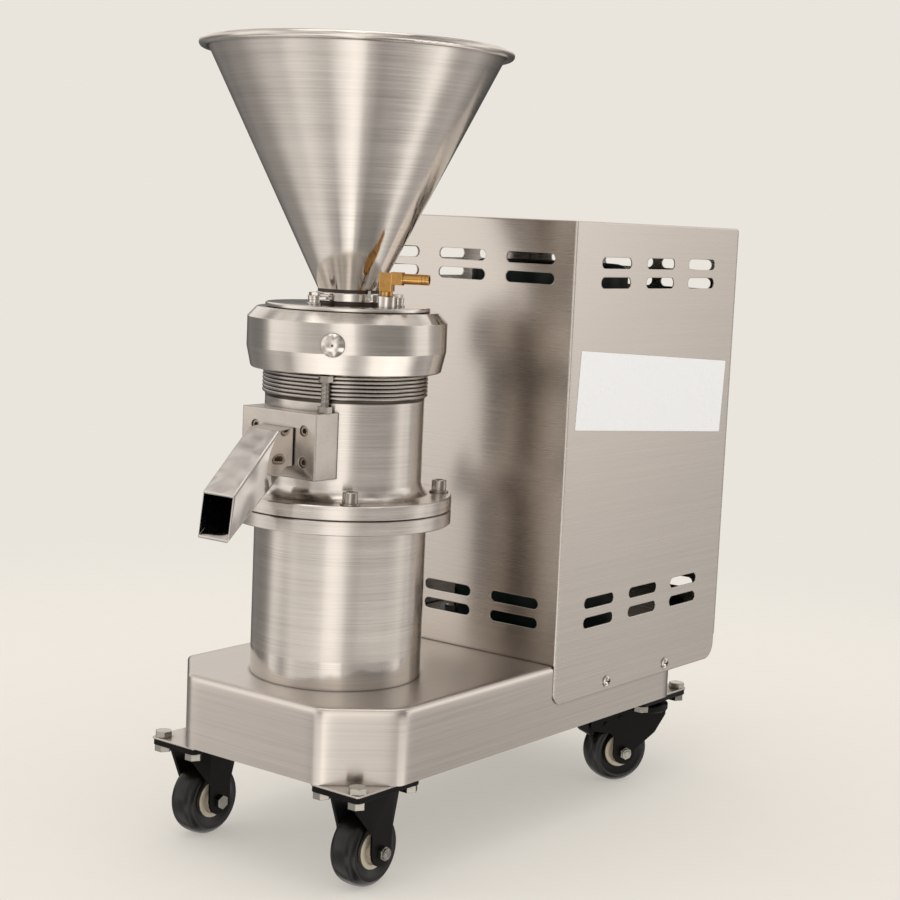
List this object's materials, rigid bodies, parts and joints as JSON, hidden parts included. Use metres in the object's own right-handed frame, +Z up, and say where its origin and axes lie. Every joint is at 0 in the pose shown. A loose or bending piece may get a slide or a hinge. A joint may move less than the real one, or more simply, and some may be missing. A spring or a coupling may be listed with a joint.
{
  "type": "nut butter grinding mill",
  "caption": "Wheeled stainless steel nut butter mill: conical hopper over an upright grinding head with side chute, belt driven by a motor in a slotted box cabinet.",
  "frame": {"origin": "centre of the footprint of the whole machine, on the floor under the casters", "axes": "+Z up, the discharge chute points to -Y, the motor cabinet is at +Y, +X is the side with the label plate"},
  "size_m": [0.3154, 0.7298, 0.8221],
  "materials": {
    "brushed_sheet": "fine horizontal brush, satin",
    "turned_steel": "fine circumferential turning marks, satin bright",
    "machined_steel": "machined",
    "bearing_steel": "ground",
    "cast_pulley": "turned cast iron",
    "black_rubber": "matt black",
    "bright_fastener": "bright stainless",
    "satin_block": "satin milled",
    "polished_sheet": "mirror polished stainless sheet",
    "polished_plate": "polished turned stainless",
    "hopper_steel": "polished, fine circumferential grain",
    "brass": "machined brass",
    "white_label": "plain white film",
    "black_plastic": "moulded",
    "green_paint": "dark green enamel",
    "zinc_fastener": "zinc plated",
    "fan_plastic": "moulded",
    "belt_rubber": "cloth-faced rubber",
    "black_coat": "black powder coat",
    "caster_tyre": "smooth dark tyre",
    "cream_hub": "pale cream moulding"
  },
  "bodies": {
    "base_frame": {"base_shell": "brushed_sheet", "corner_plates": "brushed_sheet", "pedestal": "turned_steel", "bearing_cartridge": "machined_steel", "spindle_bearing_outer_rings": "bearing_steel", "flange_gasket": "black_rubber", "mill_body": "turned_steel", "shaft_seal": "black_rubber", "flange_bolts": "bright_fastener", "discharge_block": "satin_block", "block_screws": "bright_fastener", "discharge_chute": "polished_sheet", "limit_screw": "bright_fastener", "limit_screw_nuts": "bright_fastener", "motor_cover": "brushed_sheet", "rear_panel": "brushed_sheet", "cover_screws": "bright_fastener", "blank_label": "white_label", "cable_gland": "black_plastic", "motor_frame": "green_paint", "motor_bolts": "zinc_fastener", "motor_fan_cover": "green_paint", "terminal_box": "green_paint", "v_belts": "belt_rubber", "front_caster_forks": "black_coat", "front_caster_axles": "zinc_fastener", "rear_caster_plates": "black_coat", "caster_bolts": "zinc_fastener"},
    "spindle": {"spindle": "machined_steel", "spindle_pulley": "cast_pulley", "spindle_bearing_inner_rings": "bearing_steel", "grinding_rotor": "machined_steel", "rotor_nut": "machined_steel"},
    "motor_rotor": {"motor_shaft": "machined_steel", "motor_pulley": "cast_pulley", "motor_fan": "fan_plastic"},
    "stator_carrier": {"stator_holder": "machined_steel", "stator_ring": "machined_steel", "cover_plate": "polished_plate", "throat_gaskets": "black_rubber", "hopper_clamp_ring": "polished_plate", "clamp_screws": "bright_fastener", "hopper": "hopper_steel", "brass_elbow": "brass"},
    "adjusting_ring": {"adjusting_ring": "turned_steel", "ring_pin": "turned_steel"},
    "front_wheel_right": {"front_tyre_right": "caster_tyre", "front_hub_right": "cream_hub"},
    "front_wheel_left": {"front_tyre_left": "caster_tyre", "front_hub_left": "cream_hub"},
    "rear_swivel_right": {"rear_fork_right": "black_coat", "rear_axle_right": "zinc_fastener"},
    "rear_swivel_left": {"rear_fork_left": "black_coat", "rear_axle_left": "zinc_fastener"},
    "rear_wheel_right": {"rear_tyre_right": "caster_tyre", "rear_hub_right": "cream_hub"},
    "rear_wheel_left": {"rear_tyre_left": "caster_tyre", "rear_hub_left": "cream_hub"},
    "brake_pedal_right": {"brake_pedal_right": "black_coat"},
    "brake_pedal_left": {"brake_pedal_left": "black_coat"}
  },
  "joints": [
    {"name": "motor_spin", "type": "hinge", "parent": "base_frame", "child": "motor_rotor", "pos_m": [0, 0.176, 0.3], "axis": [0, 0, 1], "continuous": true},
    {"name": "spindle_spin", "type": "hinge", "parent": "base_frame", "child": "spindle", "pos_m": [0, -0.1802, 0.3], "axis": [0, 0, 1], "continuous": true},
    {"name": "carrier_lift", "type": "slide", "parent": "base_frame", "child": "stator_carrier", "axis": [0, 0, 1], "range_m": [0, 0.004]},
    {"name": "ring_turn", "type": "hinge", "parent": "stator_carrier", "child": "adjusting_ring", "pos_m": [0, -0.1802, 0.528], "axis": [0, 0, 1], "range_deg": [0, 360]},
    {"name": "front_wheel_right_roll", "type": "hinge", "parent": "base_frame", "child": "front_wheel_right", "pos_m": [0.111, -0.2554, 0.038], "axis": [1, 0, 0], "continuous": true},
    {"name": "front_wheel_left_roll", "type": "hinge", "parent": "base_frame", "child": "front_wheel_left", "pos_m": [-0.111, -0.2554, 0.038], "axis": [1, 0, 0], "continuous": true},
    {"name": "rear_swivel_right_turn", "type": "hinge", "parent": "base_frame", "child": "rear_swivel_right", "pos_m": [0.111, 0.255, 0.09], "axis": [0, 0, 1], "continuous": true},
    {"name": "rear_swivel_left_turn", "type": "hinge", "parent": "base_frame", "child": "rear_swivel_left", "pos_m": [-0.111, 0.255, 0.09], "axis": [0, 0, 1], "continuous": true},
    {"name": "rear_wheel_right_roll", "type": "hinge", "parent": "rear_swivel_right", "child": "rear_wheel_right", "pos_m": [0.09433, 0.22365, 0.038], "axis": [0.8829, -0.4695, 0], "continuous": true},
    {"name": "rear_wheel_left_roll", "type": "hinge", "parent": "rear_swivel_left", "child": "rear_wheel_left", "pos_m": [-0.11594, 0.21985, 0.038], "axis": [0.9903, -0.1392, 0], "continuous": true},
    {"name": "brake_right_press", "type": "hinge", "parent": "rear_swivel_right", "child": "brake_pedal_right", "pos_m": [0.08189, 0.20026, 0.0742], "axis": [0.8829, -0.4695, 0], "range_deg": [0, 15]},
    {"name": "brake_left_press", "type": "hinge", "parent": "rear_swivel_left", "child": "brake_pedal_left", "pos_m": [-0.11963, 0.1936, 0.0742], "axis": [0.9903, -0.1392, 0], "range_deg": [0, 15]}
  ],
  "couplings": [
    {"joint": "spindle_spin", "follows": "motor_spin", "ratio": 1.125},
    {"joint": "carrier_lift", "follows": "ring_turn", "m_per_rad": 0.00063662}
  ]
}
